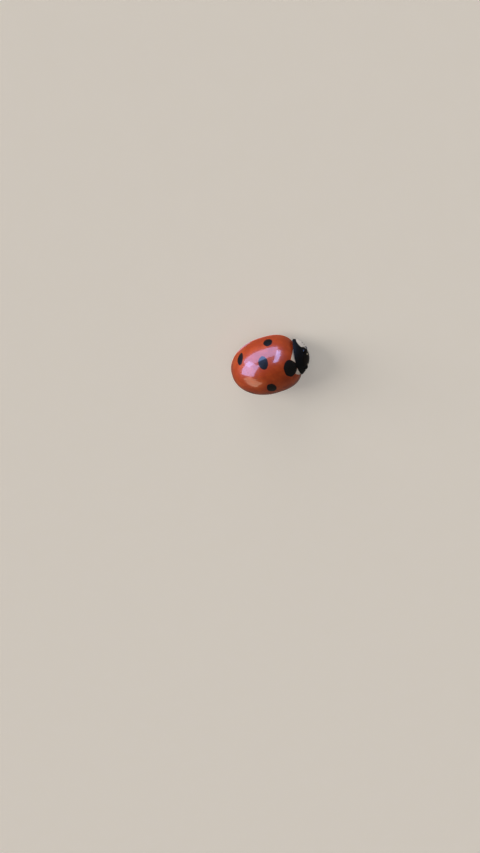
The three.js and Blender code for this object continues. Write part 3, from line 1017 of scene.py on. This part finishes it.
eyes = {
    "lensesPerMillimetre": 24,
    "lensHeight": 8,         # in micrometres
    "colors": ("#050405", "#1b1411"),
}


def makeEyeFinish():
    # A compound eye: close-packed lenses over black, drawn at twice their real 0.02 mm so that they show.
    material, tree, place = newFinish("eye lenses", {
        "Roughness": 0.3, "IOR": 1.4, "Coat Weight": 0.25, "Coat Roughness": 0.15})
    cells = addNode(tree, "TexVoronoi", {"feature": "F1"},
                    {"Vector": place, "Scale": eyes["lensesPerMillimetre"], "Randomness": 0.15})
    bump = addNode(tree, "Bump", {"invert": True},
                   {"Height": cells, "Distance": eyes["lensHeight"] * 1e-6, "Strength": 1.0})
    color = blend(tree, cells, 0.25, 0.6, *[linear(shade) for shade in eyes["colors"]])
    setSurface(tree, {"Base Color": color, "Normal": bump})
    return material


eyeFinish = makeEyeFinish()
finish(breastPlate, bodyFinish, ["prosternum"])
finish(chest, bodyFinish, ["thorax"])
finish(belly, bodyFinish, ["abdomen"])
for node, piece in headPieces.items():
    if "eye" in node:
        finish(piece, eyeFinish, [node])
    elif node == "head":
        finish(piece, headFinish, [node])
    elif node == "labrum":
        finish(piece, feelerFinish, [node])
    else:
        finish(piece, feelerFinish, [node])
for node, piece in feelerPieces.items():
    finish(piece, feelerFinish, [node])
for node, piece in legPieces.items():
    finish(piece, legFinish, [node])
for piece, slot in zip(hairPieces, ("body", "leg", "head")):
    finish(piece, hairFinish)
print("finishes")

studio = {
    "floorSize": 6.0,
    "floorColors": ("#eeece8", "#e9e7e3"),
    "floorGlow": ("#fffaf4", 0.22),
    "worldColor": "#f2eadf",
    "worldStrength": 0.2,
    "glossStrength": 0.09,
    "backdropStrength": 0.7,
    # direction in degrees (from the beetle's left towards its tail, then up), softness and strength
    "key": (60, 25, 40, 1.7, "#fff4e6"),
    "fill": (0, 10, 50, 1.0, "#fff1e2"),
    # level panels that only gloss shows: direction, width and height, brightness and colour
    "panelDistance": 70,
    "panels": {
        "tailSky": (60, 30, 60, 60, 8, "#9cbcff"),
        "sideSky": (15, 10, 100, 50, 6, "#9cbcff"),
        "frontBar": (-25, 30, 15, 60, 12, "#9cbcff"),
        "glow": (120, 30, 60, 40, 2.5, "#ffe2c4"),
    },
}


def makeStudio():
    bpy.ops.object.select_all(action="DESELECT")
    bpy.ops.mesh.primitive_plane_add(size=studio["floorSize"])
    floor = added("floor")
    # Matt card: no gloss, with a faint fibre that keeps it from looking like plastic.
    glowColor, glowStrength = studio["floorGlow"]
    material, tree, place = newFinish("matt card", {
        "Roughness": 1.0, "Specular IOR Level": 0.0, "Emission Color": linear(glowColor),
        "Emission Strength": glowStrength})
    fibres = addNode(tree, "TexNoise", {}, {"Vector": place, "Scale": 0.5, "Detail": 4.0})
    first, second = [linear(shade) for shade in studio["floorColors"]]
    color = addNode(tree, "Mix", {"data_type": "RGBA"}, {0: fibres, 6: first, 7: second}, 2)
    setSurface(tree, {"Base Color": color})
    floor.data.materials.append(material)
    # gloss looks past the floor, so the panels may reach below it and black chitin stays black
    floor.visible_glossy = floor.visible_shadow = False
    world = bpy.data.worlds.new("studio")
    bpy.context.scene.world = world
    world.use_nodes = True
    # the backdrop shows pale, and lights the beetle less, so that its gloss stays clear
    tree = world.node_tree
    shown = addNode(tree, "LightPath", {}, {}, "Is Camera Ray")
    gloss = shown.node.outputs["Is Glossy Ray"]
    unseen = addNode(tree, "MapRange", {},
                     {0: gloss, 3: studio["worldStrength"], 4: studio["glossStrength"]})
    strength = addNode(tree, "MapRange", {}, {0: shown, 3: unseen, 4: studio["backdropStrength"]})
    background = tree.nodes["Background"]
    background.inputs["Color"].default_value = linear(studio["worldColor"])
    tree.links.new(strength, background.inputs["Strength"])
    for name in ("key", "fill"):
        azimuth, elevation, softness, energy, color = studio[name]
        bpy.ops.object.light_add(type="SUN")
        lamp = bpy.context.object
        lamp.name = name
        lamp.rotation_euler = toward(azimuth, elevation).to_track_quat("Z", "Y").to_euler()
        lamp.data.angle = math.radians(softness)
        lamp.data.energy = energy
        lamp.data.color = linear(color)[:3]
        lamp.visible_glossy = False
    for name, (azimuth, elevation, width, height, brightness, color) in studio["panels"].items():
        direction = toward(azimuth, elevation)
        across = Vector((-direction.y, direction.x, 0)).normalized()
        basis = Matrix((across, direction.cross(across), direction)).transposed()
        bpy.ops.object.light_add(type="AREA", location=direction * studio["panelDistance"] / perMetre)
        panel = bpy.context.object
        panel.name = "panel_" + name
        panel.rotation_euler = basis.to_euler()
        panel.data.shape = "RECTANGLE"
        panel.data.size, panel.data.size_y = width / perMetre, height / perMetre
        panel.data.energy = brightness * math.pi * width * height / perMetre ** 2
        panel.data.color = linear(color)[:3]
        panel.visible_diffuse = panel.visible_camera = False


camera = {
    "direction": (-26, 69),   # where it stands, seen from the beetle, in degrees as for the lights
    "topTowards": -18,        # the way the top of the view points over the floor
    "aim": (0, rearY - 2.95, marginZ + 1.1),
    "distance": 74,
    "aimAside": 0.028,        # the aim lies this far right of the middle, for each unit of distance
    "aimAbove": 0.066,
    "lens": 36.0,
    "clip": (0.005, 10.0),    # in metres
}


def makeCamera():
    backward = toward(*camera["direction"])
    right = toward(camera["topTowards"], 0).cross(backward).normalized()
    basis = Matrix((right, backward.cross(right), backward)).transposed()
    swing = Vector((camera["aimAside"], camera["aimAbove"], -1)).rotation_difference(Vector((0, 0, -1)))
    bpy.ops.object.camera_add(location=(Vector(camera["aim"]) + backward * camera["distance"]) / perMetre)
    view = bpy.context.object
    view.rotation_euler = (basis @ swing.to_matrix()).to_euler()
    view.data.lens = view.data.sensor_width = camera["lens"]
    view.data.clip_start, view.data.clip_end = camera["clip"]
    bpy.context.scene.camera = view
    bpy.context.scene.view_settings.view_transform = "Standard"


makeStudio()
makeCamera()
print("studio and camera")
